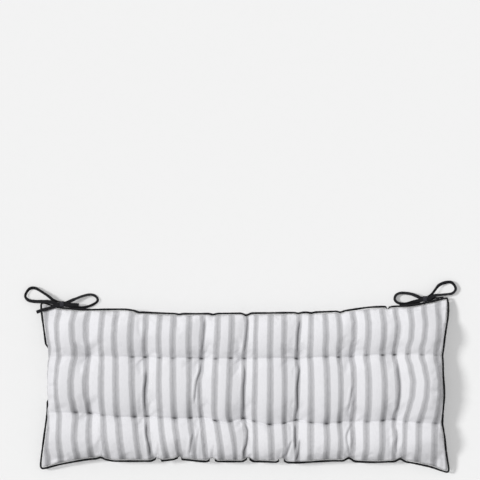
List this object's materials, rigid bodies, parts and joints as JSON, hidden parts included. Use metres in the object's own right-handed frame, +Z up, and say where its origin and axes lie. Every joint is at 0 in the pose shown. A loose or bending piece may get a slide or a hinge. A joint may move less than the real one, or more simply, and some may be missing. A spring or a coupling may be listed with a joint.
{
  "type": "bench cushion",
  "caption": "Long tufted bench cushion in a striped ticking cover with dark piped edges and tape ties in bows at both back corners.",
  "frame": {"origin": "on the surface that the cushion rests on, under the middle of its piped outline", "axes": "+X along the length of the cushion, +Y towards the back edge with the ties, +Z up through the tufted face"},
  "size_m": [1.2415, 0.5524, 0.072],
  "materials": {
    "ticking": "off-white cotton ticking with grey stripes along the depth",
    "trim": "matte charcoal cotton, covered cord",
    "tie_tape": "matte charcoal cotton tape"
  },
  "bodies": {
    "root": {"cushion": "ticking", "piping": "trim", "tie_left_far": "tie_tape", "tie_left_near": "tie_tape", "tie_right_far": "tie_tape", "tie_right_near": "tie_tape"}
  },
  "joints": []
}
